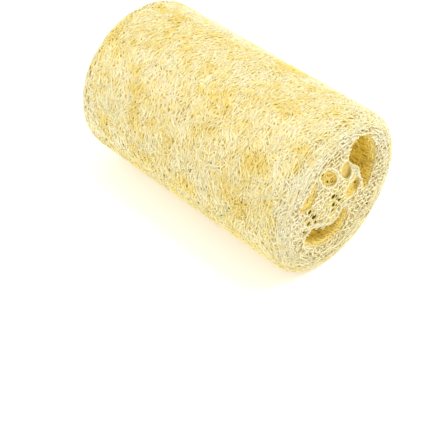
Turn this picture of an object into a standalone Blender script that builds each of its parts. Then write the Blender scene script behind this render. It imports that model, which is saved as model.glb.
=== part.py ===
"""Natural loofah sponge: one cut length of a dried sponge gourd, lying on its side.

It grew as one piece, so it is one solid: a thick wall of fibre net round a central core, with
the seed chambers left as holes from one cut end to the other. The skin carries the raised net
of the fibres, the cut ends carry the open cells of the sliced net, and the chamber walls carry
the lengthwise fibres as ribs. All sizes are metres. +X runs along the gourd, +Z is up, and the
origin is at the bottom centre of the sponge's box.
"""

import math
import random

import bmesh
import bpy
from mathutils import Vector, noise
from mathutils.geometry import delaunay_2d_cdt

# Overall size.
LENGTH = 0.127
DIAMETER = 0.078
RIM_ROUNDING = 0.0052
FLAT_WIDTH = 0.016

# The raised net of the skin: bricks of net, each two columns wide and one row long.
NET_COLUMNS = 72
NET_ROUNDING_ROWS = 2
NET_STRAIGHT_ROWS = 24
NET_PIT_DEPTH = 0.0028
NET_JITTER = 0.00055

# The open cells of the cut ends.
CELL_SPACING = 0.0031
CELL_PIT_DEPTH = 0.0032
CELL_JITTER = 0.0005
CORE_SINK = 0.0028
CORE_RADIUS = 0.015

# The chamber walls.
CHAMBER_SPACING = 0.0029
CHAMBER_SECTIONS = 11
RIB_HEIGHT = 0.0006

SEED = 11

# The seed chambers' outlines on the cut end, as (across, up) from the gourd's axis, seen from +X.
# Each goes round anticlockwise through the points that its shape needs.
CHAMBERS = {
    # The wide chamber, with the lobe of the core that reaches into it from the left.
    "right": (
        (0.0040, 0.0195), (0.0020, 0.0150), (0.0032, 0.0110), (0.0075, 0.0095), (0.0128, 0.0078),
        (0.0100, 0.0052), (0.0058, 0.0028), (0.0065, -0.0014), (0.0110, -0.0032), (0.0160, -0.0040),
        (0.0190, -0.0078), (0.0226, -0.0050), (0.0245, 0.0030), (0.0238, 0.0120), (0.0200, 0.0210),
        (0.0138, 0.0262), (0.0085, 0.0250),
    ),
    # The low chamber, under the ragged edge of the core.
    "low": (
        (-0.0200, -0.0108), (-0.0182, -0.0160), (-0.0118, -0.0210), (-0.0040, -0.0240),
        (0.0028, -0.0228), (0.0070, -0.0178), (0.0074, -0.0120), (0.0046, -0.0082),
        (0.0020, -0.0118), (-0.0026, -0.0140), (-0.0074, -0.0118), (-0.0122, -0.0092),
        (-0.0165, -0.0080),
    ),
    # The left chamber, which a sheet of net divides into a slit and a small hole.
    "slit": (
        (-0.0248, 0.0080), (-0.0215, 0.0072), (-0.0182, 0.0108), (-0.0160, 0.0160),
        (-0.0158, 0.0212), (-0.0190, 0.0208), (-0.0228, 0.0150),
    ),
    "hole": (
        (-0.0118, 0.0150), (-0.0078, 0.0106), (-0.0032, 0.0098), (-0.0022, 0.0138),
        (-0.0060, 0.0190), (-0.0108, 0.0218), (-0.0132, 0.0192),
    ),
}


def clear_scene():
    """Removes every object that the file opened with."""
    for obj in list(bpy.data.objects):
        bpy.data.objects.remove(obj)


def smooth_loop(points, spacing):
    """Evenly spaced points on the closed smooth curve through the given points."""
    fine_steps = 24
    fine = []
    count = len(points)
    for i in range(count):
        before, start, end, after = (Vector(points[(i + k) % count]) for k in (-1, 0, 1, 2))
        for step in range(fine_steps):
            t = step / fine_steps
            fine.append(
                0.5 * (2 * start + (end - before) * t
                       + (2 * before - 5 * start + 4 * end - after) * t * t
                       + (3 * start - before - 3 * end + after) * t * t * t)
            )
    lengths = [(fine[(k + 1) % len(fine)] - fine[k]).length for k in range(len(fine))]
    total = sum(lengths)
    wanted = 2 * round(total / spacing / 2)
    loop = []
    travelled, k = 0.0, 0
    for n in range(wanted):
        target = total * n / wanted
        while travelled + lengths[k] < target:
            travelled += lengths[k]
            k += 1
        share = (target - travelled) / lengths[k]
        loop.append(fine[k].lerp(fine[(k + 1) % len(fine)], share))
    return loop


def inside(point, loop):
    """Whether a point of the cut end lies inside a closed outline."""
    crossings = False
    for k, a in enumerate(loop):
        b = loop[k - 1]
        if (a.y > point.y) != (b.y > point.y):
            if point.x < (b.x - a.x) * (point.y - a.y) / (b.y - a.y) + a.x:
                crossings = not crossings
    return crossings


def cell_points(rim, chambers, rng):
    """The points of the cut end's net, in a loose honeycomb: (place, whether it is a pit)."""
    keep_off = 0.62 * CELL_SPACING
    row_height = CELL_SPACING * math.sqrt(3) / 2
    reach = DIAMETER / 2
    rows, columns = int(reach / row_height) + 1, int(reach / CELL_SPACING) + 2
    found = []
    for row in range(-rows, rows + 1):
        for column in range(-columns, columns + 1):
            place = Vector((
                (column + 0.5 * (row % 2)) * CELL_SPACING + rng.uniform(-CELL_JITTER, CELL_JITTER),
                row * row_height + rng.uniform(-CELL_JITTER, CELL_JITTER),
            ))
            outlines = [rim, *chambers]
            if not inside(place, rim) or any(inside(place, loop) for loop in chambers):
                continue
            if min((place - corner).length for loop in outlines for corner in loop) < keep_off:
                continue
            lattice_column = column - (row - row % 2) // 2
            found.append((place, (lattice_column - row) % 3 == 0))
    return found


def cut_face(bm, x, rim, chambers, rng):
    """Adds one cut end to the mesh, and returns its edge loops: the rim's, then each chamber's."""
    cells = cell_points(rim, chambers, rng)
    outlines = [rim, *chambers]
    corners = [corner for loop in outlines for corner in loop]
    starts = loop_starts(outlines)
    edges = []
    for loop, first in zip(outlines, starts):
        edges += [(first + k, first + (k + 1) % len(loop)) for k in range(len(loop))]
    places = corners + [place for place, _ in cells]
    _, _, faces, _, _, _ = delaunay_2d_cdt(places, edges, [], 0, 1e-7)
    outward = math.copysign(1, x)
    verts = []
    for n, place in enumerate(places):
        sink = CORE_SINK * math.exp(-((place.length / CORE_RADIUS) ** 2))
        sink *= 1 + 0.6 * noise.noise(Vector((place.x, place.y, x)) * 160)
        if n >= len(corners) and cells[n - len(corners)][1]:
            sink += CELL_PIT_DEPTH * rng.uniform(0.75, 1.2)
        if n < len(rim):
            sink = 0
        verts.append(bm.verts.new((x - outward * sink, place.x, place.y)))
    for face in faces:
        middle = sum((places[n] for n in face), Vector((0, 0))) / 3
        if inside(middle, rim) and not any(inside(middle, loop) for loop in chambers):
            bm.faces.new([verts[n] for n in face])
    return [[bm.edges.get((verts[a], verts[b])) for a, b in edges[start:start + len(loop)]]
            for loop, start in zip(outlines, starts)]


def loop_starts(outlines):
    """Where each outline starts in the list of all their points."""
    starts, total = [], 0
    for loop in outlines:
        starts.append(total)
        total += len(loop)
    return starts


def join_ends(bm, front, back, sections):
    """Joins a loop of the front face to the same loop of the back one, in that many sections."""
    made = bmesh.ops.bridge_loops(bm, edges=front + back)
    lengthwise = [e for e in made["edges"] if abs(e.verts[0].co.x - e.verts[1].co.x) > LENGTH / 2]
    bmesh.ops.subdivide_edges(bm, edges=lengthwise, cuts=sections - 1, use_grid_fill=True)


def between_ends(bm, loop):
    """The points that joining the two ends made along one outline."""
    limit = LENGTH / 2 - LENGTH / (2 * len(net_stations()))
    near = (RIB_HEIGHT / 10) ** 2
    found = []
    for vert in bm.verts:
        here = Vector((vert.co.y, vert.co.z))
        if abs(vert.co.x) < limit and min((here - corner).length_squared for corner in loop) < near:
            found.append(vert)
    return found


def skin_profile(along):
    """(x, radius) at a distance along the skin, from one rim to the other, round both edges."""
    quarter = RIM_ROUNDING * math.pi / 2
    straight = LENGTH - 2 * RIM_ROUNDING
    radius = DIAMETER / 2 - RIM_ROUNDING
    if along < quarter:
        angle = along / RIM_ROUNDING
        return (-LENGTH / 2 + RIM_ROUNDING * (1 - math.cos(angle)),
                radius + RIM_ROUNDING * math.sin(angle))
    if along > quarter + straight:
        angle = (2 * quarter + straight - along) / RIM_ROUNDING
        return (LENGTH / 2 - RIM_ROUNDING * (1 - math.cos(angle)),
                radius + RIM_ROUNDING * math.sin(angle))
    return -LENGTH / 2 + RIM_ROUNDING + along - quarter, DIAMETER / 2


def net_stations():
    """How far along the skin each row of the net lies, from the back rim to the front one."""
    quarter = RIM_ROUNDING * math.pi / 2
    straight = LENGTH - 2 * RIM_ROUNDING
    back = [quarter * k / NET_ROUNDING_ROWS for k in range(NET_ROUNDING_ROWS)]
    middle = [quarter + straight * k / NET_STRAIGHT_ROWS for k in range(NET_STRAIGHT_ROWS + 1)]
    front = [2 * quarter + straight - along for along in reversed(back)]
    return back + middle + front


def raise_net(bm, skin, rng):
    """Turns the skin's plain grid into the raised net: loose six-sided cells, each with a pit."""
    stations = net_stations()
    rows = len(stations) - 1
    place = {}
    for vert in skin:
        column = round(math.atan2(vert.co.z, vert.co.y) / math.tau * NET_COLUMNS) % NET_COLUMNS
        place[vert] = (column, round((vert.co.x / LENGTH + 0.5) * rows))
    edges = {e for v in skin for e in v.link_edges}
    spare = []
    for edge in edges:
        ends = [place.get(v) for v in edge.verts]
        column = next(end for end in ends if end)[0]
        lengthwise = abs(edge.verts[0].co.x - edge.verts[1].co.x) > LENGTH / rows / 2
        row = round((min(v.co.x for v in edge.verts) / LENGTH + 0.5) * rows)
        if lengthwise and (column + row) % 2 == 0:
            spare.append(edge)
    bmesh.ops.dissolve_edges(bm, edges=spare, use_verts=False, use_face_split=False)
    for vert, (column, row) in place.items():
        step = min(stations[row + 1] - stations[row], stations[row] - stations[row - 1])
        zigzag = step / 6 if (column + row) % 2 else -step / 6
        x, radius = skin_profile(stations[row] + zigzag + rng.uniform(-NET_JITTER, NET_JITTER))
        angle = math.tau * column / NET_COLUMNS + rng.uniform(-NET_JITTER, NET_JITTER) / radius
        vert.co = (x, radius * math.cos(angle), radius * math.sin(angle))
    return {f for v in place for f in v.link_faces}


def sink_pits(bm, cells, rng):
    """Gives each cell of the net its pit, apart from those pressed flat under the sponge."""
    floor = flat_height()
    open_cells = [f for f in cells if any(v.co.z > floor for v in f.verts)]
    for vert in bmesh.ops.poke(bm, faces=open_cells)["verts"]:
        inward = Vector((0, -vert.co.y, -vert.co.z)).normalized()
        near_end = (abs(vert.co.x) - (LENGTH / 2 - RIM_ROUNDING)) / RIM_ROUNDING
        if near_end > 0:
            inward = (inward - Vector((math.copysign(near_end, vert.co.x), 0, 0))).normalized()
        vert.co += inward * NET_PIT_DEPTH * rng.uniform(0.7, 1.2)


def rib_chamber(wall, loop, rng):
    """Raises every other line of a chamber's wall into a lengthwise rib."""
    for vert in wall:
        here = Vector((vert.co.y, vert.co.z))
        index = min(range(len(loop)), key=lambda k: (loop[k] - here).length_squared)
        along = loop[(index + 1) % len(loop)] - loop[index - 1]
        into_hole = Vector((-along.y, along.x)).normalized()
        height = RIB_HEIGHT if index % 2 else -RIB_HEIGHT
        moved = here + into_hole * (height + rng.uniform(-0.3, 0.3) * RIB_HEIGHT)
        vert.co.y, vert.co.z = moved


def flat_height():
    """The height, from the gourd's axis, of the flat that the sponge lies on."""
    return -math.sqrt((DIAMETER / 2) ** 2 - (FLAT_WIDTH / 2) ** 2)


def press_flat(bm):
    """Presses the underside flat, as the sponge's own weight and handling do."""
    for vert in bm.verts:
        vert.co.z = max(vert.co.z, flat_height())


def seat_at_origin(bm):
    """Moves the sponge so that the bottom centre of its box is the origin."""
    low = [min(v.co[k] for v in bm.verts) for k in range(3)]
    high = [max(v.co[k] for v in bm.verts) for k in range(3)]
    shift = Vector((-(low[0] + high[0]) / 2, -(low[1] + high[1]) / 2, -low[2]))
    bmesh.ops.translate(bm, verts=bm.verts, vec=shift)


def straw_material():
    """Dried, sun-bleached gourd fibre: pale straw, matt."""
    material = bpy.data.materials.new("loofah_fibre")
    material.use_nodes = True
    shader = material.node_tree.nodes["Principled BSDF"]
    shader.inputs["Base Color"].default_value = (0.87, 0.73, 0.36, 1)
    shader.inputs["Roughness"].default_value = 0.85
    shader.inputs["Metallic"].default_value = 0
    return material


def build_sponge():
    """Makes the loofah sponge as one closed mesh."""
    rng = random.Random(SEED)
    rim_radius = DIAMETER / 2 - RIM_ROUNDING
    rim = [Vector((rim_radius * math.cos(math.tau * k / NET_COLUMNS),
                   rim_radius * math.sin(math.tau * k / NET_COLUMNS))) for k in range(NET_COLUMNS)]
    chambers = [smooth_loop(outline, CHAMBER_SPACING) for outline in CHAMBERS.values()]

    bm = bmesh.new()
    front = cut_face(bm, LENGTH / 2, rim, chambers, rng)
    back = cut_face(bm, -LENGTH / 2, rim, chambers, rng)
    join_ends(bm, front[0], back[0], len(net_stations()) - 1)
    for front_loop, back_loop in zip(front[1:], back[1:]):
        join_ends(bm, front_loop, back_loop, CHAMBER_SECTIONS)
    bmesh.ops.recalc_face_normals(bm, faces=bm.faces)

    for chamber in chambers:
        rib_chamber(between_ends(bm, chamber), chamber, rng)
    cells = raise_net(bm, between_ends(bm, rim), rng)
    sink_pits(bm, cells, rng)
    press_flat(bm)
    seat_at_origin(bm)
    bmesh.ops.triangulate(bm, faces=[f for f in bm.faces if len(f.verts) > 3])
    bmesh.ops.recalc_face_normals(bm, faces=bm.faces)

    mesh = bpy.data.meshes.new("loofah_sponge")
    bm.to_mesh(mesh)
    bm.free()
    mesh.materials.append(straw_material())
    sponge = bpy.data.objects.new("loofah_sponge", mesh)
    bpy.context.scene.collection.objects.link(sponge)
    return sponge


clear_scene()
build_sponge()
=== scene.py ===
"""The looks of the natural loofah sponge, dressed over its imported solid.

The sponge is a cut length of a dried sponge gourd. Its skin is a mat of fine straw fibres that run
mainly round the gourd, with small golden pits between them. Its two cut ends show the paler open
net of the sliced wall and the seed chambers, whose walls are golden and ribbed lengthwise.
Everything is in metres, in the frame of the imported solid: +X towards the cut end that the camera
sees, +Z up.
"""

from __future__ import annotations

import logging
import math
import random
from dataclasses import dataclass, field
from enum import Enum
from typing import ClassVar

import bmesh
import bpy
from mathutils import Matrix, Vector, kdtree, noise


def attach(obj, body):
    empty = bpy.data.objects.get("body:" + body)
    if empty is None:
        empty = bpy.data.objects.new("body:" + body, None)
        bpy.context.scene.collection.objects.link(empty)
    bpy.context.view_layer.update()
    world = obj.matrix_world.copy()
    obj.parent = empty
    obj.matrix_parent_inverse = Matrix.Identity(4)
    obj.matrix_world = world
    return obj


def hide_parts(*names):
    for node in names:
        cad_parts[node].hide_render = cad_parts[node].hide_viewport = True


log = logging.getLogger("loofah")

Socket = bpy.types.NodeSocket
Loop = list[Vector]

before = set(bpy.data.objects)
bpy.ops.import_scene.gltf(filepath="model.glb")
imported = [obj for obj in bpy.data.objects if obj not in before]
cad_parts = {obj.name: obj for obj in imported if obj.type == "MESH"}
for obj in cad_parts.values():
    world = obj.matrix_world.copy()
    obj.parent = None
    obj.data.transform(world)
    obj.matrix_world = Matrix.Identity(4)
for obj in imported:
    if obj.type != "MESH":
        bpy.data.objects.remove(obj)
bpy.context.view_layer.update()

MM = 0.001
SOLID = "loofah_sponge"
NOISE_SEED = 3
# Where the sun has taken nearly all of the yellow.
BLEACHED = "#fbf3d4"
# A fibre's colour changes down to this depth and no further.
DEEPEST = 12 * MM
# The sizes of the yellowed patches in a fibre's colour, and of the mottles in its depths.
PATCH_SIZE = 11 * MM
MOTTLE_SIZE = 5 * MM
# The least number of places that make a fibre.
SHORTEST = 3

# The wide mouth's right side, and the torn web's edge across it.
WIDE_RIM = (
    (22.6, -5.0), (24.5, 3.0), (23.8, 12.0), (20.0, 21.0), (13.8, 26.2), (8.5, 25.0),
)
TORN_EDGE = (
    (5.4, 18.0), (6.3, 15.8), (8.3, 13.4), (10.6, 11.2), (13.0, 9.2), (14.3, 6.2), (14.9, 3.6),
    (16.2, 0.7), (17.4, -2.3), (18.2, -5.4),
)
# The seed chambers' mouths, as (across, up) from the gourd's axis in millimetres, seen from +X.
WIDE_MOUTH = (
    (3.2, 20.2), (0.6, 16.0), (1.2, 10.8), (4.6, 6.2), (6.6, 4.2), (5.4, 0.6), (5.8, -2.6),
    (10.0, -4.4), (16.0, -4.6), (19.0, -7.8), *WIDE_RIM,
)
LOW_MOUTH = (
    (-20.0, -10.8), (-18.2, -16.0), (-11.8, -21.0), (-4.0, -24.0), (2.8, -22.8), (7.0, -17.8),
    (7.4, -12.0), (4.6, -8.2), (2.0, -11.8), (-2.6, -14.0), (-7.4, -11.8), (-12.2, -9.2),
    (-16.5, -8.0),
)
# The two small chambers, which end in a floor of web a little behind each cut.
SLIT_POCKET = (
    (-23.8, 8.2), (-22.4, 5.6), (-18.2, 4.8), (-15.5, 7.8), (-14.0, 12.0), (-13.8, 18.2),
    (-16.2, 18.0), (-19.0, 14.4), (-21.6, 11.4),
)
SMALL_POCKET = (
    (-11.2, 20.2), (-11.4, 16.6), (-8.7, 12.4), (-4.2, 8.3), (-0.6, 8.4), (-1.9, 13.6),
    (-6.6, 18.8),
)
# What a torn web at the cut leaves open of the wide mouth, and the two windows in that web.
WIDE_OPEN = (*TORN_EDGE, (19.4, -7.6), *WIDE_RIM, (6.0, 21.6))
UPPER_WINDOW = (
    (4.6, 17.6), (1.8, 16.6), (1.3, 13.2), (2.6, 9.4), (6.6, 6.0), (8.6, 7.8), (7.2, 13.0),
)
LOWER_WINDOW = (
    (7.8, -5.0), (6.6, -2.2), (8.2, 1.2), (11.8, 3.0), (14.9, 1.6), (15.1, -2.6), (12.2, -5.6),
)
# The smooth sheet of the core, between the small chambers and the low one.
CORE_SHEET = (
    (-13.0, 14.5), (-9.9, 11.4), (-5.0, 7.2), (0.4, 7.2), (2.2, 3.0), (4.0, -2.0), (4.2, -6.6),
    (1.6, -10.4), (-2.6, -12.8), (-7.4, -10.6), (-12.2, -8.6), (-16.5, -7.2), (-20.4, -9.8),
    (-23.4, -7.0), (-22.6, 0.0), (-20.4, 4.2), (-16.6, 5.6), (-14.4, 8.6),
)
# The web's own outline, which laps over the edge of the wide mouth.
WIDE_WEB = (
    (6.0, 21.6), *TORN_EDGE, (14.0, -7.0), (8.0, -7.0), (4.4, -3.2), (3.8, 3.0), (0.8, 8.0),
    (-0.8, 14.0), (1.0, 20.5), (3.4, 23.6),
)
# A small web at the upper edge of the low mouth.
TONGUE = (
    (-6.4, -9.0), (-1.0, -7.0), (1.4, -8.6), (3.4, -11.0), (1.6, -12.9), (-2.2, -13.8),
    (-6.0, -12.4),
)
# How much higher and further to the side an opening lies in the net in front of a web.
SLANT = Vector((-0.6, 0.8)) * MM
# The small veins' ends in the core, as (across, up, radius), dark against the pale net.
CORE_PITS = (
    (-17.4, 2.4, 1.3), (-19.5, 0.0, 1.1), (-14.4, -2.1, 1.5), (-12.4, -6.0, 1.2),
    (-17.7, -4.0, 1.1), (-20.2, -7.2, 0.9), (-2.2, 1.6, 1.2), (2.0, -2.9, 1.2),
    (-1.6, -3.4, 1.4), (-1.9, -6.8, 1.0), (-9.6, -7.2, 0.8), (1.4, 4.4, 0.6), (1.6, -7.4, 1.1),
    (0.3, -5.2, 0.6), (-0.2, 0.4, 0.7), (0.4, -1.6, 0.6), (-16.0, -0.4, 0.7), (-19.6, 2.4, 0.6),
    (12.3, -10.7, 0.8), (18.8, -23.8, 0.7), (22.7, -18.9, 0.7),
)
# Dark brown marks on the webs, as (across, up, radius, depth). The last three, just behind the
# ragged upper edge of the low mouth, are painted shadow under that edge.
DARK_AND_SHADOW_MARKS = (
    (4.3, 20.4, 0.7, 0.9), (14.0, -1.6, 0.7, 2.6), (-8.7, 15.9, 1.1, 2.6),
    (-2.8, 9.8, 1.1, 2.6), (-5.2, 11.4, 0.8, 2.6), (-6.1, 14.4, 0.7, 2.6),
    (-3.8, -14.0, 1.2, 1.7), (-7.4, -12.8, 1.0, 1.7), (2.6, -11.6, 0.9, 1.5),
)
# The floors of web behind the windows and the small chambers, as (outline, spread, depth).
WEB_FLOORS = (
    (UPPER_WINDOW, 1.5, 2.4), (LOWER_WINDOW, 1.5, 2.7), (SLIT_POCKET, 1.15, 2.8),
    (SMALL_POCKET, 1.15, 2.7),
)
# The bands of fibre that edge the wide mouth's web, as (middle line, half width, depth).
BRIDGES = (
    (((4.4, 20.0), (5.4, 17.4), (7.6, 14.2), (9.8, 11.6), (12.6, 9.2)), 0.6, 0.5),
    (((12.8, 8.8), (14.2, 5.4), (15.3, 2.4), (16.6, -1.8)), 0.5, 0.6),
)
# The soft lights, as (name, place in metres, size, power, colour).
LIGHTS = (
    ("key_light", (0.35, 0.25, 1.0), 0.6, 8.9, "#ffffff"),
    ("left_light", (-0.55, -0.75, 0.6), 0.8, 5.0, "#ffffff"),
    ("front_light", (0.9, -0.5, 0.5), 0.8, 1.8, "#fffdf6"),
)


class CutEnd(Enum):
    """The two cut ends of the gourd, by the way that each one faces along X."""

    FRONT = 1
    BACK = -1


def linear_colour(hex_colour: str) -> tuple[float, float, float, float]:
    """Turns an sRGB hex colour with its hash into a shader's linear red, green, blue and alpha."""
    channels = [int(hex_colour[k:k + 2], 16) / 255 for k in (1, 3, 5)]
    return (*(c / 12.92 if c <= 0.04045 else ((c + 0.055) / 1.055) ** 2.4 for c in channels), 1.0)


@dataclass
class NodeBench:
    """Adds nodes to a material's tree, where an input takes a value or another node's output."""

    tree: bpy.types.NodeTree

    def feed(self, node: bpy.types.Node, inputs: dict) -> None:
        """Gives a node's inputs, by number or name, their values, hex colours or outputs."""
        for key, value in inputs.items():
            if isinstance(value, Socket):
                self.tree.links.new(value, node.inputs[key])
            elif isinstance(value, str):
                node.inputs[key].default_value = linear_colour(value)
            else:
                node.inputs[key].default_value = value

    def add(self, kind: str, inputs: dict | None = None, **settings) -> bpy.types.Node:
        """Adds one node of a kind with its inputs and its settings."""
        node = self.tree.nodes.new("ShaderNode" + kind)
        for key, value in settings.items():
            setattr(node, key, value)
        self.feed(node, inputs or {})
        return node

    def math(self, operation: str, *terms, clamp: bool = False) -> Socket:
        """The outcome of one operation on its terms."""
        node = self.add("Math", dict(enumerate(terms)), operation=operation, use_clamp=clamp)
        return node.outputs[0]

    def joined(self, *parts) -> Socket:
        """A vector of those parts."""
        return self.add("CombineXYZ", dict(enumerate(parts))).outputs[0]

    def length(self, vector: Socket) -> Socket:
        """A vector's length."""
        return self.add("VectorMath", {0: vector}, operation="LENGTH").outputs["Value"]

    def noise(self, place: Socket, scale: float, detail: float,
              roughness: float = 0.5) -> Socket:
        """A noise's strength at a place."""
        inputs = {"Vector": place, "Scale": scale, "Detail": detail, "Roughness": roughness}
        return self.add("TexNoise", inputs).outputs["Fac"]

    def ramp(self, value: Socket, start: float, stop: float, least: float = 0.0,
             most: float = 1.0, kind: str = "SMOOTHSTEP") -> Socket:
        """Rises from the least to the most where a value goes from start to stop."""
        inputs = {"Value": value, "From Min": start, "From Max": stop, "To Min": least,
                  "To Max": most}
        return self.add("MapRange", inputs, interpolation_type=kind).outputs[0]

    def mix(self, share, first, second, blend: str = "MIX") -> Socket:
        """A mix of two colours by the share of the second."""
        node = self.add("Mix", {0: share, 6: first, 7: second}, data_type="RGBA", blend_type=blend)
        return node.outputs[2]


@dataclass(frozen=True)
class Gourd:
    """The sponge's main measures, as its solid has them, and the places on its surface."""

    length: float = 127 * MM
    radius: float = 39 * MM
    rounding: float = 5.2 * MM
    axis_height: float = 38.17 * MM
    core_sink: float = 0.5 * MM
    core_radius: float = 15 * MM
    clearance: float = 0.35 * MM

    def core_depth(self, across: float, up: float) -> float:
        """How far the core's net lies behind the plane of the cut."""
        spread = (across * across + up * up) / self.core_radius ** 2
        rough = 1 + 0.5 * noise.noise(Vector((across, up, 0.3)) * 160)
        return self.core_sink * math.exp(-spread) * rough

    def skin_point(self, along: float, angle: float, depth: float) -> Vector:
        """A place on the skin or on a cut end, never below the flat that the sponge lies on.

        Args:
            along: distance along the skin from the middle of the gourd; past the rim's rounding
                it runs in over the cut end towards the axis.
            angle: the angle round the axis, from +Y towards +Z.
            depth: how far below the surface.
        """
        straight = self.length / 2 - self.rounding
        quarter = self.rounding * math.pi / 2
        reach = abs(along)
        if reach <= straight:
            x, radius = reach, self.radius - depth
        elif reach <= straight + quarter:
            turn = (reach - straight) / self.rounding
            x = straight + (self.rounding - depth) * math.sin(turn)
            radius = self.radius - self.rounding + (self.rounding - depth) * math.cos(turn)
        else:
            x = self.length / 2 - depth
            radius = self.radius - self.rounding - (reach - straight - quarter)
        place = Vector((
            math.copysign(x, along),
            radius * math.cos(angle),
            self.axis_height + radius * math.sin(angle),
        ))
        place.z = max(place.z, self.clearance)
        return place

    def cut_point(self, end: CutEnd, across: float, up: float, depth: float) -> Vector:
        """A place on a cut end, that far behind the net's own surface there."""
        past_rim = math.hypot(across, up) - (self.radius - self.rounding)
        past_rim = min(max(past_rim, 0.0), 0.97 * self.rounding)
        rim_drop = self.rounding - math.sqrt(self.rounding ** 2 - past_rim ** 2)
        x = self.length / 2 - self.core_depth(across, up) - rim_drop - depth
        return Vector((end.value * x, across, max(self.axis_height + up, self.clearance)))


GOURD = Gourd()


def mouth_loop(outline: tuple[tuple[float, float], ...], steps: int = 10) -> Loop:
    """Points on the smooth curve through an outline in millimetres, in steps for each corner."""
    count = len(outline)
    loop = []
    for i in range(count):
        before, start, end, after = (Vector(outline[(i + k) % count]) * MM for k in (-1, 0, 1, 2))
        for step in range(steps):
            t = step / steps
            loop.append(
                0.5 * (2 * start + (end - before) * t
                       + (2 * before - 5 * start + 4 * end - after) * t * t
                       + (3 * start - before - 3 * end + after) * t * t * t)
            )
    return loop


@dataclass(frozen=True)
class Pit:
    """A small ragged hole in a sheet, or a mark on it, of that middle and mean radius."""

    middle: Vector
    radius: float
    corners: int = 9

    @property
    def loop(self) -> Loop:
        """Its anticlockwise outline."""
        places = []
        for k in range(self.corners):
            turn = math.tau * k / self.corners
            spoke = Vector((math.cos(turn), math.sin(turn)))
            sway = noise.noise(Vector((*(self.middle / MM), 1.4 * k)))
            places.append(self.middle + spoke * self.radius * (1 + 0.6 * sway))
        return places


def inside(across: float, up: float, loop: Loop) -> bool:
    """Whether a place on the cut lies inside a closed outline."""
    crossings = False
    for k, a in enumerate(loop):
        b = loop[k - 1]
        if (a.y > up) != (b.y > up) and across < (b.x - a.x) * (up - a.y) / (b.y - a.y) + a.x:
            crossings = not crossings
    return crossings


def into_hole(loop: Loop, index: int) -> Vector:
    """The direction from an anticlockwise outline into its hole, at one of its points."""
    along = loop[(index + 1) % len(loop)] - loop[index - 1]
    return Vector((-along.y, along.x)).normalized()


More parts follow.
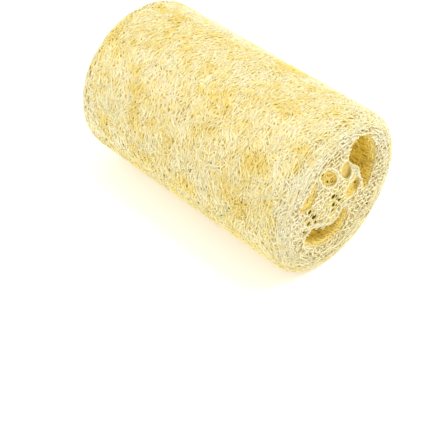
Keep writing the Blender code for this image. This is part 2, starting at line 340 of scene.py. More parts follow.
@dataclass(frozen=True)
class DriedFibre:
    """Dried gourd fibre: cellulose strands, matt and slightly silky, bleached at the outside.

    The eye sees a pale strand on top, deeper straw below it and gold in the pits. The outer colour
    turns to the patch colour in soft patches, and the inner one to its mottle colour. The turn from
    the outer colour to the inner one with depth is partly the fibre's own deeper gold and partly
    painted shade in the depths.
    """

    name: str
    outer: str
    inner: str
    patch: str
    mottle: str
    outer_at: float
    inner_at: float
    patch_share: float = 0.75
    bleached_share: float = 0.0
    streak_width: float = 0.5 * MM
    streak_length: float = 4.0 * MM
    streaks_lengthwise: bool = False
    streak_shade: float = 0.16
    roughness: float = 0.72
    bump_height: float = 0.12 * MM
    # How far the lower side turns to the patch colour between these two heights: painted shade and
    # painted golden reflected light.
    low_painted_shade: float = 0.0
    low_from: float = 34 * MM
    low_full: float = 4 * MM
    # A painted glow in the inner colour, which lifts the shade in the depths.
    painted_glow: float = 0.0
    softness: float = 0.4

    def depth(self, bench: NodeBench, reach: Socket, radial: Socket) -> Socket:
        """How deep a place lies, below the skin or behind the cut, down to the deepest told apart.

        Its reach is its distance from the gourd's middle, and radial is that from the axis.
        """
        past_end = bench.math("SUBTRACT", reach, GOURD.length / 2 - DEEPEST, clamp=True)
        past_skin = bench.math("SUBTRACT", radial, GOURD.radius - DEEPEST, clamp=True)
        return bench.math("SUBTRACT", DEEPEST, bench.length(bench.joined(past_end, past_skin)))

    def colour(self, bench: NodeBench, streaks: Socket, place: Socket, height: Socket,
               depth: Socket) -> Socket:
        """The fibre's colour, by its streaks, place, height over the floor and depth in the net."""
        patches = bench.noise(place, 1 / PATCH_SIZE, 4.0, 0.65)
        mottles = bench.noise(place, 1 / MOTTLE_SIZE, 3.0, 0.7)
        # Painted shade and painted golden light reflected from below: the lower side turns towards
        # the patch colour, more so nearer the floor.
        low = bench.ramp(height, self.low_from, self.low_full, most=self.low_painted_shade)
        patched = bench.ramp(patches, 0.46, 0.66, most=self.patch_share)
        bleached = bench.ramp(patches, 0.5, 0.34, most=self.bleached_share)
        pale = bench.mix(bleached, self.outer, BLEACHED)
        surface = bench.mix(bench.math("MAXIMUM", patched, low), pale, self.patch)
        deep = bench.mix(bench.ramp(mottles, 0.45, 0.65), self.inner, self.mottle)
        # Deeper in, the colour turns to the inner one: partly the fibres' own gold, partly painted
        # shade in the depths.
        layered = bench.mix(bench.ramp(depth, self.outer_at, self.inner_at), surface, deep)
        shade = bench.ramp(streaks, 0.3, 0.7, 1 - self.streak_shade, 1 + 0.3 * self.streak_shade,
                           "LINEAR")
        return bench.mix(1.0, layered, shade, "MULTIPLY")

    def material(self) -> bpy.types.Material:
        """Builds the fibre's material, whose depths and way round are measured on the gourd."""
        made = bpy.data.materials.new(self.name)
        made.use_nodes = True
        bench = NodeBench(made.node_tree)
        place = bench.add("TexCoord").outputs["Object"]
        x, y, z = bench.add("SeparateXYZ", {0: place}).outputs
        height = bench.math("SUBTRACT", z, GOURD.axis_height)
        radial = bench.length(bench.joined(y, height))
        depth = self.depth(bench, bench.math("ABSOLUTE", x), radial)
        round_distance = bench.math("MULTIPLY", bench.math("ARCTAN2", y, height), GOURD.radius)
        across, lengthwise = 1 / self.streak_width, 1 / self.streak_length
        stretch = (across, lengthwise, across)
        if self.streaks_lengthwise:
            stretch = (lengthwise, across, across)
        unrolled = bench.joined(x, round_distance, radial)
        streak_place = bench.add("Mapping", {"Vector": unrolled, "Scale": stretch}).outputs[0]
        streaks = bench.noise(streak_place, 1.0, 2.0)
        relief = {"Strength": 0.6, "Distance": self.bump_height, "Height": streaks}
        # Light comes through the thin net from every side, so its depths never go black: the
        # subsurface carries some of it, and a painted glow in the inner colour lifts the rest of
        # the shade.
        bench.feed(made.node_tree.nodes["Principled BSDF"], {
            "Base Color": self.colour(bench, streaks, place, z, depth),
            "Normal": bench.add("Bump", relief).outputs["Normal"],
            "Roughness": self.roughness,
            "IOR": 1.45,
            "Specular IOR Level": 0.2,
            "Subsurface Weight": self.softness,
            "Subsurface Radius": (1.0, 0.8, 0.45),
            "Subsurface Scale": 1.6 * MM,
            "Emission Color": self.inner,
            "Emission Strength": self.painted_glow,
        })
        return made


# Outer fibres, bleached by the sun and by washing.
SKIN_FIBRE = DriedFibre(
    "bleached_skin_fibre", outer="#f5ebb4", inner="#f0df90", patch="#f5d667", mottle="#e8cc66",
    outer_at=0.1 * MM, inner_at=1.2 * MM, low_painted_shade=0.85, painted_glow=0.05, bleached_share=0.5,
)
# The mat close under the outer fibres: straw below the skin, golden along the seed chambers, partly
# its own gold and partly painted shade deep in them.
UNDER_MAT = DriedFibre(
    "golden_under_mat", outer="#f5e49c", inner="#c9a83a", patch="#ceb65c", mottle="#8a6818",
    outer_at=1.6 * MM, inner_at=8 * MM, low_painted_shade=0.9, low_from=58 * MM, low_full=26 * MM,
    streaks_lengthwise=True, streak_width=0.9 * MM, streak_length=3 * MM, streak_shade=0.6,
    bump_height=0.5 * MM, painted_glow=0.27,
)
# The mat just behind the sliced net of the cut ends, darker than the net: partly the deeper fibres'
# gold, partly painted shade in the gaps.
CUT_MAT = DriedFibre(
    "straw_cut_mat", outer="#cfb768", inner="#bfa24c", patch="#c6ab58", mottle="#ab8c38",
    outer_at=1.0 * MM, inner_at=5 * MM, patch_share=1.0, streak_length=2 * MM,
    bump_height=0.4 * MM, painted_glow=0.12,
)
# The floor of a pit in the skin: the deeper fibres' dark gold, partly painted shade in the pit, and
# darker still on the lower side.
PIT_GOLD_AND_SHADE = DriedFibre(
    "dark_gold_pit_and_painted_shade", outer="#cdab4e", inner="#a6842c", patch="#8e6f20", mottle="#806018",
    outer_at=1.0 * MM, inner_at=2 * MM, softness=0.0, patch_share=0.4, low_painted_shade=1.0,
    low_from=66 * MM, low_full=34 * MM,
)
# Dark brown, for the walls of the small veins' open ends and for the marks on the webs, some of
# which are painted shadow.
VEIN_AND_SHADOW = DriedFibre(
    "brown_vein_and_painted_shadow", outer="#6e4f0e", inner="#5a3f0a", patch="#63470c", mottle="#4c3408",
    outer_at=1.0 * MM, inner_at=5 * MM, softness=0.0, painted_glow=0.4,
)
# Freshly sliced net, paler than the skin because no light or water has yellowed it.
CUT_FIBRE = DriedFibre(
    "pale_cut_fibre", outer="#f0e6be", inner="#dac680", patch="#e4d59c", mottle="#ccb362",
    outer_at=0.5 * MM, inner_at=2.2 * MM, low_painted_shade=0.6, low_from=45 * MM, low_full=12 * MM,
    streak_length=2 * MM, painted_glow=0.07,
)
# Thin webs that tore at the cut: cream at the cut itself, golden a few millimetres behind it.
TORN_WEB = DriedFibre(
    "cream_torn_web", outer="#cdbc7c", inner="#dcc464", patch="#d3c27c", mottle="#bf9e46",
    outer_at=1.2 * MM, inner_at=3.4 * MM, streak_length=1.5 * MM, bump_height=0.3 * MM, painted_glow=0.14,
)
# Fibres that line the seed chambers, pale at the mouth and golden deeper in: partly their own
# colour, partly painted shade and painted golden glow in the chambers.
CHAMBER_FIBRE = DriedFibre(
    "golden_chamber_fibre", outer="#e8d58e", inner="#e4c854", patch="#e6d286", mottle="#b08a2c",
    outer_at=1.6 * MM, inner_at=6.5 * MM, streaks_lengthwise=True, streak_length=2 * MM,
    streak_shade=0.5, painted_glow=0.28,
)


def placed(name: str, data: bpy.types.ID) -> bpy.types.Object:
    """Puts an object with that data in the scene."""
    made = bpy.data.objects.new(name, data)
    bpy.context.scene.collection.objects.link(made)
    return made


def mesh_object(name: str, bm: bmesh.types.BMesh) -> bpy.types.Object:
    """Turns a finished mesh into an object in the scene."""
    mesh = bpy.data.meshes.new(name)
    bm.to_mesh(mesh)
    bm.free()
    return placed(name, mesh)


def dress(piece: bpy.types.Object, fibres: list[DriedFibre]) -> None:
    """Gives a piece its place in the model and its finishes, in their faces' order."""
    for fibre in fibres:
        piece.data.materials.append(bpy.data.materials.get(fibre.name) or fibre.material())
    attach(piece, "root")
    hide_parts(SOLID)
    triangles = sum(len(face.vertices) - 2 for face in piece.data.polygons)
    log.info("%s: %d triangles", piece.name, triangles)


@dataclass
class StrandBundle:
    """Many fibres that become one piece: each is a path with its own thickness."""

    name: str
    fibre: DriedFibre
    sides: int = 3
    paths: list[tuple[Loop, list[float]]] = field(default_factory=list)

    def add(self, places: Loop, radii: list[float] | float) -> None:
        """Adds one fibre through those places, of one radius or one each, unless it is a stub."""
        if isinstance(radii, float):
            radii = [radii] * len(places)
        if len(places) >= SHORTEST:
            self.paths.append((places, radii))

    def section(self) -> bpy.types.Object:
        """A closed outline of unit radius, the section of every fibre."""
        outline = bpy.data.curves.new(self.name + "_section", "CURVE")
        outline.dimensions = "2D"
        ring = outline.splines.new("POLY")
        ring.points.add(self.sides - 1)
        for k, point in enumerate(ring.points):
            turn = math.tau * k / self.sides
            point.co = (math.cos(turn), math.sin(turn), 0, 1)
        ring.use_cyclic_u = True
        return placed(self.name + "_section", outline)

    def build(self) -> None:
        """Sweeps every fibre and joins them in one mesh piece."""
        curve = bpy.data.curves.new(self.name, "CURVE")
        curve.dimensions = "3D"
        curve.twist_mode = "MINIMUM"
        curve.use_fill_caps = True
        section = self.section()
        curve.bevel_mode = "OBJECT"
        curve.bevel_object = section
        for places, radii in self.paths:
            strand = curve.splines.new("POLY")
            strand.points.add(len(places) - 1)
            strand.points.foreach_set("co", [c for p in places for c in (p.x, p.y, p.z, 1.0)])
            strand.points.foreach_set("radius", radii)
        swept = placed(self.name + "_swept", curve)
        mesh = bpy.data.meshes.new_from_object(
            swept.evaluated_get(bpy.context.evaluated_depsgraph_get()))
        bpy.data.objects.remove(swept)
        bpy.data.objects.remove(section)
        bpy.data.curves.remove(curve)
        mesh.name = self.name
        mesh.shade_smooth()
        dress(placed(self.name, mesh), [self.fibre])


def loop_edges(bm: bmesh.types.BMesh, x: float, loop: Loop) -> list[bmesh.types.BMEdge]:
    """Adds an outline across the gourd, and gives its edges."""
    corners = [bm.verts.new((x, p.x, GOURD.axis_height + p.y)) for p in loop]
    return [bm.edges.new((corners[k - 1], corner)) for k, corner in enumerate(corners)]


def fill_and_draw(bm: bmesh.types.BMesh, edges: list, reach: float) -> tuple[list, list]:
    """Fills an outline, draws it out along X, and gives its first faces and its new corners."""
    filled = bmesh.ops.triangle_fill(bm, use_beauty=True, edges=edges)
    faces = [part for part in filled["geom"] if isinstance(part, bmesh.types.BMFace)]
    drawn = bmesh.ops.extrude_face_region(bm, geom=faces, use_keep_orig=True)
    moved = [part for part in drawn["geom"] if isinstance(part, bmesh.types.BMVert)]
    bmesh.ops.translate(bm, verts=moved, vec=(reach, 0, 0))
    return faces, moved


@dataclass
class UnderBody:
    """The solid mat under the fibres, with the seed chambers open from end to end."""

    mouths: list[Loop]
    pits: list[Pit]
    below_skin: float = 0.9 * MM
    behind_cut: float = 1.3 * MM
    rim_segments: int = 96
    rim_bevel: float = 3.6 * MM
    bevel_steps: int = 5
    clearance: float = 0.6 * MM

    def build(self) -> None:
        """Fills the cut round the chambers, draws it out lengthwise and rounds its rims."""
        half = GOURD.length / 2 - self.behind_cut
        rim_radius = GOURD.radius - self.below_skin
        bm = bmesh.new()
        stand = Matrix.Translation((-half, 0, GOURD.axis_height))
        stand @= Matrix.Rotation(math.pi / 2, 4, "Y")
        bmesh.ops.create_circle(bm, segments=self.rim_segments, radius=rim_radius, matrix=stand)
        for loop in self.mouths + [pit.loop for pit in self.pits]:
            loop_edges(bm, -half, loop)
        fill_and_draw(bm, bm.edges[:], 2 * half)
        rim = [e for e in bm.edges if self.on_rim(e, half, rim_radius)]
        bmesh.ops.bevel(bm, geom=rim, offset=self.rim_bevel, segments=self.bevel_steps,
                        profile=0.5, affect="EDGES", material=-1)
        for vert in bm.verts:
            vert.co.z = max(vert.co.z, self.clearance)
        bmesh.ops.recalc_face_normals(bm, faces=bm.faces)
        bm.normal_update()
        for face in bm.faces:
            face.material_index = self.choose_finish(face)
        dress(mesh_object("under_body", bm), [UNDER_MAT, CUT_MAT, VEIN_AND_SHADOW])

    def choose_finish(self, face: bmesh.types.BMFace) -> int:
        """The number of a face's finish: under mat, cut mat or vein."""
        middle = face.calc_center_median()
        if abs(middle.x) > GOURD.length / 2 - self.behind_cut - self.rim_bevel:
            return 1
        here = Vector((middle.y, middle.z - GOURD.axis_height))
        if any((here - pit.middle).length < 1.4 * pit.radius for pit in self.pits):
            return 2
        return 0

    def on_rim(self, edge: bmesh.types.BMEdge, half: float, rim_radius: float) -> bool:
        """Whether an edge lies on the outer rim of either end."""
        a, b = (v.co for v in edge.verts)
        if abs(a.x - b.x) > half or len(edge.link_faces) != 2:
            return False
        radii = [math.hypot(p.y, p.z - GOURD.axis_height) for p in (a, b)]
        return min(radii) > 0.999 * rim_radius * math.cos(math.pi / self.rim_segments)


@dataclass
class SkinNet:
    """The mat of the skin: short arched fibres that run mainly round the gourd and part at pits."""

    rows: int = 160
    columns: int = 140
    bundles: int = 4
    step: float = 1.1 * MM
    pit_count: int = 1050
    pit_length: float = 1.3 * MM
    pit_width: float = 0.7 * MM
    pit_depth: float = 0.74 * MM
    pit_clump: float = 17 * MM
    flow_size: float = 11 * MM
    flow_share: float = 0.7
    heading_spread: float = 0.42
    wild_share: float = 0.12
    seed: int = 5

    def pits(self, rng: random.Random) -> kdtree.KDTree:
        """Scatters the pits over the unrolled skin, denser in some patches than in others."""
        half_round = math.pi * GOURD.radius
        found = []
        while len(found) < self.pit_count:
            place = Vector((rng.uniform(-0.5, 0.5) * GOURD.length,
                            rng.uniform(-1, 1) * half_round, 0))
            likely = 0.25 + noise.noise(place / self.pit_clump) + 0.35 * place.x / GOURD.length
            likely += 0.4 * (self.pit_size(place.y / GOURD.radius) - 1)
            if likely > rng.uniform(-0.3, 0.6):
                found.append(place)
        straight = GOURD.length / 2 - GOURD.rounding
        self.pit_floors([p for p in found if abs(p.x) < straight], rng)
        tree = kdtree.KDTree(len(found))
        for n, place in enumerate(found):
            tree.insert(place, n)
        tree.balance()
        return tree

    def pit_size(self, angle: float) -> float:
        """How much larger than the mean the pits are there: they close towards the upper side."""
        return 1.15 - 0.5 * math.sin(angle)

    def pit_floors(self, places: Loop, rng: random.Random) -> None:
        """Lays a small dark floor in each pit, on the mat under the fibres: partly the deeper gold,
        partly painted shade.
        """
        bm = bmesh.new()
        for place in places:
            angle = place.y / GOURD.radius
            middle = GOURD.skin_point(place.x, angle, self.pit_depth)
            outward = Vector((0, math.cos(angle), math.sin(angle)))
            lengthwise = Vector((1, 0, 0))
            turned = Matrix((lengthwise, outward.cross(lengthwise), outward)).transposed()
            size = self.pit_size(angle) * rng.uniform(0.6, 1.0)
            stretch = Matrix.Diagonal((size * self.pit_width, size * self.pit_length, 1, 1))
            stand = Matrix.Translation(middle) @ turned.to_4x4() @ stretch
            bmesh.ops.create_circle(bm, cap_ends=True, segments=8, radius=1.0, matrix=stand)
        dress(mesh_object("skin_pit_gold_and_shade", bm), [PIT_GOLD_AND_SHADE])

    def part_at_pit(self, pits: kdtree.KDTree, along: float, angle: float) -> float:
        """Where along the skin a fibre lies instead, if it would cross a pit at its own place."""
        round_place = (angle + math.pi) % math.tau - math.pi
        pit, _, distance = pits.find(Vector((along, round_place * GOURD.radius, 0)))
        if distance > self.pit_length:
            return along
        share = min(abs(round_place * GOURD.radius - pit.y) / self.pit_length, 1.0)
        clear = self.pit_size(angle) * self.pit_width * math.sqrt(1 - share * share)
        if abs(along - pit.x) >= clear:
            return along
        return pit.x + math.copysign(clear, along - pit.x)

    def strand(self, rng: random.Random, pits: kdtree.KDTree, along: float,
               angle: float) -> tuple[Loop, list[float]]:
        """One fibre of the mat, whose middle lies at that place of the skin."""
        round_skin = Vector((math.cos(angle), math.sin(angle), 0)) * GOURD.radius
        flow = noise.noise(Vector((along, round_skin.x, round_skin.y)) / self.flow_size)
        heading = rng.gauss(0, self.heading_spread) + self.flow_share * flow
        if rng.random() < self.wild_share:
            heading = rng.uniform(-1.5, 1.5)
        count = rng.choice((4, 4, 5, 5, 6, 7))
        bend = rng.uniform(-0.25, 0.25)
        relief = 1.35 - 1.15 * math.sin(angle) + 0.6 * along / GOURD.length
        relief = min(max(relief, 0.4), 1.6)
        lie = 0.05 * MM + relief * 0.4 * MM * rng.random()
        arch = relief * rng.uniform(0.15, 0.45) * MM
        width = rng.uniform(0.17, 0.3) * MM
        heading -= bend * (count - 1) / 2
        along -= self.step * math.sin(heading) * (count - 1) / 2
        angle -= self.step * math.cos(heading) * (count - 1) / 2 / GOURD.radius
        places, radii = [], []
        for k in range(count):
            t = 2 * k / (count - 1) - 1
            parted = self.part_at_pit(pits, along, angle)
            places.append(GOURD.skin_point(parted, angle, lie + arch * t * t))
            radii.append(width * (1.0 - 0.35 * t * t))
            along += self.step * math.sin(heading)
            angle += self.step * math.cos(heading) / GOURD.radius
            heading += bend + rng.uniform(-0.25, 0.25)
        return places, radii

    def build(self) -> None:
        """Makes the mat in bundles along the gourd, each a piece."""
        rng = random.Random(self.seed)
        pits = self.pits(rng)
        reach = GOURD.length / 2 - GOURD.rounding + GOURD.rounding * 1.5
        rows_each = self.rows // self.bundles
        for n in range(self.bundles):
            bundle = StrandBundle(f"skin_net_{n + 1}", SKIN_FIBRE)
            for row in range(n * rows_each, (n + 1) * rows_each):
                for column in range(self.columns):
                    along = reach * (2 * (row + rng.random()) / self.rows - 1)
                    angle = math.tau * (column + rng.random()) / self.columns
                    bundle.add(*self.strand(rng, pits, along, angle))
            bundle.build()


@dataclass
class EndFibres:
    """The fibres of one kind at a cut end, which become one piece.

    They go to one bundle, and one seeded source gives their small differences.
    """

    KIND: ClassVar[str]
    FINISH: ClassVar[DriedFibre]
    SEED: ClassVar[int]

    end: CutEnd
    mouths: list[Loop]

    def __post_init__(self) -> None:
        """Starts the bundle and the source of differences."""
        self.rng = random.Random(self.SEED + self.end.value)
        self.bundle = StrandBundle(f"{self.end.name.lower()}_{self.KIND}", self.FINISH)

    def on_cut(self, across: float, up: float, depth: float) -> Vector:
        """A place in the net of the cut."""
        return GOURD.cut_point(self.end, across, up, depth)


@dataclass(frozen=True)
class CellLayer:
    """One layer of a cut's net, as a jittered honeycomb that its offset sets apart from others."""

    spacing: float
    depth: float
    offset: float
    width: tuple[float, float]


CELL_LAYERS = (
    CellLayer(2.9 * MM, 0.35 * MM, 0.0, (0.26 * MM, 0.46 * MM)),
    CellLayer(2.3 * MM, 0.95 * MM, 7.0, (0.24 * MM, 0.4 * MM)),
)


@dataclass
class CutNet(EndFibres):
    """The open net of one cut end: sliced cells of pale fibre, and the lips of the chambers."""

    KIND = "cut_net"
    FINISH = CUT_FIBRE
    SEED = 21

    pits: list[Pit]
    strays: int = 520
    rim_fibres: int = 320
    lip_rounds: int = 10
    gap_share: float = 0.06
    rim_margin: float = 1.0 * MM
    vein_margin: float = 0.15 * MM

    def open_at(self, across: float, up: float) -> bool:
        """Whether a place on the cut is a chamber's mouth or past the rim."""
        if math.hypot(across, up) > GOURD.radius - self.rim_margin:
            return True
        here = Vector((across, up))
        if any((here - pit.middle).length < pit.radius + self.vein_margin for pit in self.pits):
            return True
        return any(inside(across, up, loop) for loop in self.mouths)

    def cells(self, layer: CellLayer) -> None:
        """Adds one layer of cells."""
        spacing = layer.spacing
        side = spacing / math.sqrt(3)
        seen = set()
        steps = int(GOURD.radius / spacing) + 2
        for row in range(-steps - 2, steps + 3):
            for column in range(-steps, steps + 1):
                centre = Vector(((column + 0.5 * (row % 2)) * spacing, row * side * 1.5))
                corners = [centre + Vector((math.sin(math.tau * k / 6), math.cos(math.tau * k / 6)))
                           * side for k in range(6)]
                for k, corner in enumerate(corners):
                    middle = (corner + corners[k - 1]) / 2
                    key = (round(middle.x / (spacing / 8)), round(middle.y / (spacing / 8)))
                    if key in seen:
                        continue
                    seen.add(key)
                    self.cell_side(layer, corner, corners[k - 1])

    def cell_side(self, layer: CellLayer, start: Vector, end: Vector) -> None:
        """Adds the fibre along one side of a cell, where the wall has material."""
        rng, ends = self.rng, []
        for corner in (start, end):
            shift = noise.noise_vector(Vector((corner.x, corner.y, layer.offset)) * 420)
            ends.append(corner + Vector((shift.x, shift.y)) * layer.spacing * 0.62)
        middle = (ends[0] + ends[1]) / 2
        if any(self.open_at(p.x, p.y) for p in (*ends, middle)) or rng.random() < self.gap_share:
            return
        across = Vector((ends[0].y - ends[1].y, ends[1].x - ends[0].x))
        bulge = rng.uniform(-0.22, 0.22)
        radius = rng.uniform(*layer.width)
        places, radii = [], []
        for k in range(4):
            t = k / 3
            flat = ends[0].lerp(ends[1], t) + across * bulge * math.sin(math.pi * t)
            lift = 0.55 * MM * noise.noise(Vector((flat.x, flat.y, layer.offset + 3)) * 500)
            places.append(self.on_cut(flat.x, flat.y, layer.depth + lift))
            radii.append(radius * (1.12 if k in (0, 3) else 0.9))
        self.bundle.add(places, radii)

    def stray(self) -> None:
        """Adds one short loose fibre that lies on the cut."""
        rng = self.rng
        turn, reach = rng.uniform(0, math.tau), GOURD.radius * math.sqrt(rng.random())
        across, up = reach * math.cos(turn), reach * math.sin(turn)
        heading = turn + math.pi / 2 + rng.gauss(0, 0.8)
        bend = rng.uniform(-0.5, 0.5)
        places = []
        lie = rng.uniform(0.2, 1.3) * MM
        width = rng.uniform(0.16, 0.3) * MM
        for _ in range(5):
            if self.open_at(across, up):
                break
            places.append(self.on_cut(across, up, lie))
            across += 0.95 * MM * math.cos(heading)
            up += 0.95 * MM * math.sin(heading)
            heading += bend
            lie += rng.uniform(-0.3, 0.3) * MM
        self.bundle.add(places, width)

    def rim_fibre(self) -> None:
        """Adds one long fibre that follows the rim, as the layers under the skin do."""
        rng = self.rng
        radius = GOURD.radius - rng.uniform(1.2, 10.5) * MM
        turn = rng.uniform(0, math.tau)
        lie, phase = rng.uniform(0.1, 1.0) * MM, rng.uniform(0, 50)
        width = rng.uniform(0.2, 0.36) * MM
        places = []
        for _ in range(rng.randint(6, 14)):
            wave = noise.noise(Vector((turn * 4, phase, 0.0))) * 1.6 * MM
            across, up = (radius + wave) * math.cos(turn), (radius + wave) * math.sin(turn)
            if self.open_at(across, up):
                break
            places.append(self.on_cut(across, up, lie))
            turn += 1.5 * MM / radius
            lie = max(0.05 * MM, lie + rng.uniform(-0.25, 0.25) * MM)
        self.bundle.add(places, width)

    def add_parts(self, flats: Loop, depths: list[float], radii: list[float]) -> None:
        """Adds a fibre that lies on the cut, without its stretches over openings."""
        places, kept = [], []
        for flat, depth, radius in zip(flats, depths, radii):
            if self.open_at(flat.x, flat.y):
                self.bundle.add(places, kept)
                places, kept = [], []
            else:
                places.append(self.on_cut(flat.x, flat.y, depth))
                kept.append(radius)
        self.bundle.add(places, kept)

    def lip(self, loop: Loop) -> None:
        """Runs wavy fibres round a chamber's mouth, so that its edge shows crisp and ragged."""
        rng = self.rng
        for _ in range(self.lip_rounds):
            start, count = rng.randrange(len(loop)), rng.randint(len(loop) // 5, len(loop) // 2)
            phase, outward = rng.uniform(0, 50), rng.uniform(0.35, 1.4) * MM
            lie, width = rng.uniform(0.1, 1.6) * MM, rng.uniform(0.22, 0.4) * MM
            flats, depths = [], []
            for k in range(start, start + count):
                base = loop[k % len(loop)]
                wave = noise.noise(Vector((base.x, base.y, phase)) * 700) * 0.9 * MM
                flats.append(base - into_hole(loop, k % len(loop)) * (outward + wave))
                depths.append(lie + 0.5 * wave)
            self.add_parts(flats, depths, [width] * count)

    def fringe(self, loop: Loop) -> None:
        """Hangs the core's torn edge, in ragged tufts, over the upper side of a chamber."""
        rng = self.rng
        for k, base in enumerate(loop):
            hole = into_hole(loop, k)
            if hole.y > -0.25:
                continue
            tuft = -0.4 + 4.2 * noise.noise(Vector((base.x, base.y, 9.0)) * 560)
            for _ in range(3):
                aside = Vector((-hole.y, hole.x)) * rng.uniform(-0.6, 0.6) * MM
                reach = max(tuft + rng.uniform(-0.4, 0.4), 0.1)
                lie, width = rng.uniform(-0.2, 1.2) * MM, rng.uniform(0.22, 0.36) * MM
                places, radii = [], []
                for step in range(4):
                    t = step / 3
                    flat = base + hole * (reach * t - 1.6 * (1 - t)) * MM + aside * (1 + t)
                    places.append(self.on_cut(flat.x, flat.y, lie + 0.5 * MM * t * t))
                    radii.append(width * (1 - 0.3 * t))
                self.bundle.add(places, radii)

    def bridge(self, route: tuple[tuple[float, float], ...], spread: float,
               depth: float) -> None:
        """Spans part of a mouth with a band of fibres; the sizes are in millimetres."""
        rng = self.rng
        for _ in range(int(9 * spread)):
            radius = rng.uniform(0.2, 0.36) * MM
            aside = Vector((rng.uniform(-spread, spread), rng.uniform(-0.5, 0.5) * spread)) * MM
            flats = []
            for k in range(len(route) - 1):
                start, end = Vector(route[k]) * MM, Vector(route[k + 1]) * MM
                for step in range(4):
                    sway = Vector((rng.uniform(-0.25, 0.25), rng.uniform(-0.25, 0.25))) * MM
                    flats.append(start.lerp(end, step / 4) + aside + sway)
            depths = [depth * MM + rng.uniform(-0.3, 0.3) * MM for _ in flats]
            self.add_parts(flats, depths, [radius * rng.uniform(0.8, 1.2) for _ in flats])

    def build(self) -> None:
        """Makes the end's net as one piece."""
        for layer in CELL_LAYERS:
            self.cells(layer)
        for _ in range(self.strays):
            self.stray()
        for _ in range(self.rim_fibres):
            self.rim_fibre()
        for loop in self.mouths:
            self.lip(loop)
        for route, spread, depth in BRIDGES:
            self.bridge(route, spread, depth)
        self.fringe(self.mouths[-1])
        self.bundle.build()


@dataclass
class TornWebs:
    """Thin webs that narrow the mouths at one cut end, and the floors that close their windows."""

    end: CutEnd
    pits: list[Pit]
    corner_steps: int = 4
    web_depth: float = 1.0 * MM
    tongue_depth: float = 0.8 * MM
    core_depth: float = 1.15 * MM
    core_thickness: float = 0.15 * MM

    def sheet(self, bm: bmesh.types.BMesh, outline: Loop, holes: list[Loop],
              depth: float, finish: int = 0, thickness: float = 0.5 * MM) -> None:
        """Adds one thin sheet round its holes, its face that far behind the plane of the cut."""
        x = self.end.value * (GOURD.length / 2 - depth)
        edges = []
        for loop in [outline] + holes:
            edges += loop_edges(bm, x, loop)
        faces, moved = fill_and_draw(bm, edges, -self.end.value * thickness)
        for vert in {v for face in faces for v in face.verts} | set(moved):
            for face in vert.link_faces:
                face.material_index = finish

    def build(self) -> None:
        """Makes the end's webs, floors and marks as one piece."""
        bm = bmesh.new()
        web, tongue, core, *windows = (
            mouth_loop(outline, self.corner_steps)
            for outline in (WIDE_WEB, TONGUE, CORE_SHEET, UPPER_WINDOW, LOWER_WINDOW))
        self.sheet(bm, web, windows, self.web_depth)
        self.sheet(bm, tongue, [], self.tongue_depth)
        core_pits = [pit.loop for pit in self.pits if inside(*pit.middle, core)]
        self.sheet(bm, core, core_pits, self.core_depth, thickness=self.core_thickness)
        for outline, spread, depth in WEB_FLOORS:
            centre = sum((Vector(p) for p in outline), Vector((0, 0))) / len(outline)
            wide = [(centre + (Vector(p) - centre) * spread) * MM for p in outline]
            self.sheet(bm, wide, [], depth * MM)
        # Dark brown marks; the last three are painted shadow under the torn upper edge of the low
        # mouth.
        for across, up, radius, depth in DARK_AND_SHADOW_MARKS:
            mark = Pit(Vector((across, up)) * MM, radius * MM)
            self.sheet(bm, mark.loop, [], depth * MM, 1)
        bmesh.ops.recalc_face_normals(bm, faces=bm.faces)
        piece = mesh_object(f"{self.end.name.lower()}_torn_webs", bm)
        dress(piece, [TORN_WEB, VEIN_AND_SHADOW])


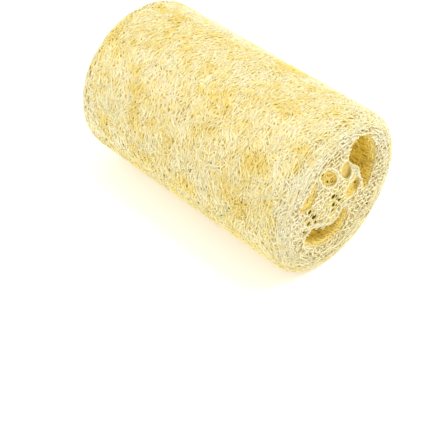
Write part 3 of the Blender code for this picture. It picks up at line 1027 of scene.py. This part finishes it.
@dataclass
class ChamberLining(EndFibres):
    """Fibres along the walls of the seed chambers, behind one cut end."""

    KIND = "chamber_fibres"
    FINISH = CHAMBER_FIBRE
    SEED = 40

    open_mouths: list[Loop]
    veiled: list[tuple[Loop, float]]
    spacing: float = 0.5 * MM
    tie_share: float = 1.5
    stride: float = 3.0 * MM
    mouth_advance: float = 1.1 * MM
    veil_cell: float = 1.5 * MM * MM
    veil_radius: float = 0.24 * MM

    def build(self) -> None:
        """Lays the lengthwise fibres of every chamber as one piece."""
        for loop in self.mouths:
            since = 0.0
            for k, base in enumerate(loop):
                since += (base - loop[k - 1]).length
                if since < self.spacing:
                    continue
                since = 0.0
                self.wall_fibre(loop, k)
            for _ in range(int(self.tie_share * len(loop))):
                self.wall_tie(loop)
        for loop, depth in self.veiled:
            self.veil(loop, depth)
        self.bundle.build()

    def veil(self, loop: Loop, depth: float) -> None:
        """Hangs a loose web across a small opening, that far behind the cut."""
        rng = self.rng
        low = [min(p[k] for p in loop) for k in (0, 1)]
        high = [max(p[k] for p in loop) for k in (0, 1)]
        area = (high[0] - low[0]) * (high[1] - low[1])
        for _ in range(int(area / self.veil_cell)):
            across, up = (rng.uniform(low[k], high[k]) for k in (0, 1))
            heading, lie = rng.uniform(0, math.tau), depth + rng.uniform(-0.8, 0.8) * MM
            places = []
            for _ in range(4):
                if not inside(across, up, loop):
                    break
                places.append(self.on_cut(across, up, lie))
                across += 0.9 * MM * math.cos(heading)
                up += 0.9 * MM * math.sin(heading)
                heading += rng.uniform(-0.5, 0.5)
            self.bundle.add(places, self.veil_radius)

    def wall_tie(self, loop: Loop) -> None:
        """Adds one short fibre that ties the lengthwise ones together, round the wall."""
        rng = self.rng
        index, depth = rng.randrange(len(loop)), 2.5 * MM + 18 * MM * rng.random() ** 1.5
        width, slope = rng.uniform(0.24, 0.4) * MM, rng.uniform(-0.9, 0.9) * MM
        places = []
        for _ in range(rng.randint(4, 9)):
            flat = loop[index % len(loop)] + into_hole(loop, index % len(loop)) * 0.7 * MM
            places.append(self.on_cut(flat.x, flat.y, max(depth, 2 * MM)))
            depth += slope + rng.uniform(-0.4, 0.4) * MM
            index += 1
        self.bundle.add(places, width)

    def wall_fibre(self, loop: Loop, index: int) -> None:
        """Adds one fibre that runs in along the wall from the mouth."""
        rng = self.rng
        inward = into_hole(loop, index)
        aside = Vector((-inward.y, inward.x))
        base = loop[index] + inward * rng.uniform(0.0, 0.7) * MM
        phase, width = rng.uniform(0, 50), rng.uniform(0.22, 0.42) * MM
        places = []
        depth = rng.uniform(1.9, 2.8) * MM
        mouth_side = loop[index] + inward * MM + 1.5 * SLANT
        if any(inside(mouth_side.x, mouth_side.y, mouth) for mouth in self.open_mouths):
            depth -= self.mouth_advance
        for _ in range(rng.randint(9, 16)):
            wave = noise.noise(Vector((depth * 260, phase, 0.5)))
            flat = base + aside * wave * 1.5 * MM
            places.append(self.on_cut(flat.x, flat.y, depth))
            depth += self.stride
        self.bundle.add(places, width)


@dataclass
class LooseFibres:
    """A few hair-thin fibre ends that stand off the skin."""

    count: int = 220
    skin_share: float = 0.7
    lowest: float = -0.93
    seed: int = 77

    def build(self) -> None:
        """Makes the loose ends as one piece."""
        rng = random.Random(self.seed)
        bundle = StrandBundle("loose_fibres", SKIN_FIBRE)
        reach = GOURD.length / 2
        for _ in range(self.count):
            if rng.random() < self.skin_share:
                along = rng.uniform(-reach, reach)
            else:
                along = reach * rng.uniform(0.9, 1)
            angle = rng.uniform(0, math.tau)
            if math.sin(angle) < self.lowest:
                continue
            lean = rng.uniform(-0.8, 0.8)
            length = rng.uniform(1.2, 3.6) * MM
            places, radii = [], []
            for k in range(5):
                t = k / 4
                places.append(GOURD.skin_point(
                    along + lean * length * t, angle + 0.9 * length * t / GOURD.radius,
                    0.4 * MM - length * 0.5 * t * t))
                radii.append((0.17 - 0.1 * t) * MM)
            bundle.add(places, radii)
        bundle.build()


@dataclass
class Studio:
    """The plain pale floor, the soft lights and the camera of the photograph."""

    azimuth: float = math.radians(45.45)
    elevation: float = math.radians(44.07)
    roll: float = math.radians(-0.30)
    distance: float = 0.4798
    right_shift: float = 0.00478
    up_shift: float = 0.04017
    focal_pixels: float = 1050.0
    picture_width: float = 445.0
    sensor: float = 36.0
    floor_glow: float = 0.22
    sky_strength: float = 0.73

    def floor(self) -> None:
        """Lays the floor."""
        bm = bmesh.new()
        bmesh.ops.create_grid(bm, x_segments=2, y_segments=2, size=3.0)
        ground = mesh_object("floor", bm)
        paper = bpy.data.materials.new("white_paper")
        paper.use_nodes = True
        NodeBench(paper.node_tree).feed(paper.node_tree.nodes["Principled BSDF"], {
            "Base Color": "#f7f6f3", "Roughness": 0.9, "Emission Color": "#ffffff",
            "Emission Strength": self.floor_glow,
        })
        ground.data.materials.append(paper)

    def light(self, name: str, place: tuple[float, float, float], size: float, power: float,
              colour: str) -> None:
        """Hangs one soft light that faces the sponge."""
        lamp = bpy.data.lights.new(name, "AREA")
        lamp.shape = "DISK"
        lamp.size = size
        lamp.energy = power
        lamp.color = linear_colour(colour)[:3]
        holder = placed(name, lamp)
        holder.location = place
        aim = Vector((0, 0, GOURD.axis_height)) - Vector(place)
        holder.rotation_euler = aim.to_track_quat("-Z", "Y").to_euler()

    def camera(self) -> None:
        """Places the camera where the photograph's own was."""
        back = Vector((math.sin(self.azimuth) * math.cos(self.elevation),
                       -math.cos(self.azimuth) * math.cos(self.elevation),
                       math.sin(self.elevation)))
        level = Vector((math.cos(self.azimuth), math.sin(self.azimuth), 0))
        upright = back.cross(level)
        right = level * math.cos(self.roll) + upright * math.sin(self.roll)
        up = upright * math.cos(self.roll) - level * math.sin(self.roll)
        centre = Vector((0, 0, GOURD.axis_height))
        place = centre + back * self.distance - right * self.right_shift - up * self.up_shift
        lens = bpy.data.cameras.new("camera")
        lens.sensor_width = self.sensor
        lens.lens = self.focal_pixels * self.sensor / self.picture_width
        lens.clip_start = 0.01
        holder = placed("camera", lens)
        turned = Matrix((right, up, back)).transposed().to_4x4()
        holder.matrix_world = Matrix.Translation(place) @ turned
        bpy.context.scene.camera = holder

    def build(self) -> None:
        """Sets up the floor, lights, sky and camera."""
        self.floor()
        for light in LIGHTS:
            self.light(*light)
        sky = bpy.data.worlds.new("white_sky")
        sky.use_nodes = True
        background = sky.node_tree.nodes["Background"]
        background.inputs["Color"].default_value = (1, 1, 1, 1)
        background.inputs["Strength"].default_value = self.sky_strength
        bpy.context.scene.world = sky
        bpy.context.scene.view_settings.view_transform = "Standard"
        self.camera()


def main() -> None:
    """Builds the sponge's pieces and the studio."""
    logging.basicConfig(level=logging.INFO, format="%(message)s")
    # Vector noise takes its offsets from this seed, and from the clock without one.
    noise.seed_set(NOISE_SEED)
    mouths = [mouth_loop(outline) for outline in (WIDE_MOUTH, LOW_MOUTH, SLIT_POCKET,
                                                  SMALL_POCKET)]
    pits = [Pit(Vector((across, up)) * MM, radius * MM) for across, up, radius in CORE_PITS]
    slanted = [[p + SLANT for p in mouth_loop(outline)]
               for outline in (WIDE_OPEN, UPPER_WINDOW, LOWER_WINDOW, SLIT_POCKET, SMALL_POCKET)]
    open_mouths = slanted + [mouths[1]]
    veiled = [(mouths[2], 2.1 * MM), (mouths[3], 2.3 * MM)]
    UnderBody(mouths, pits).build()
    SkinNet().build()
    for end in CutEnd:
        CutNet(end, open_mouths, pits).build()
        TornWebs(end, pits).build()
        ChamberLining(end, mouths, [slanted[0], mouths[1]], veiled).build()
    LooseFibres().build()
    Studio().build()


if __name__ == "__main__":
    main()
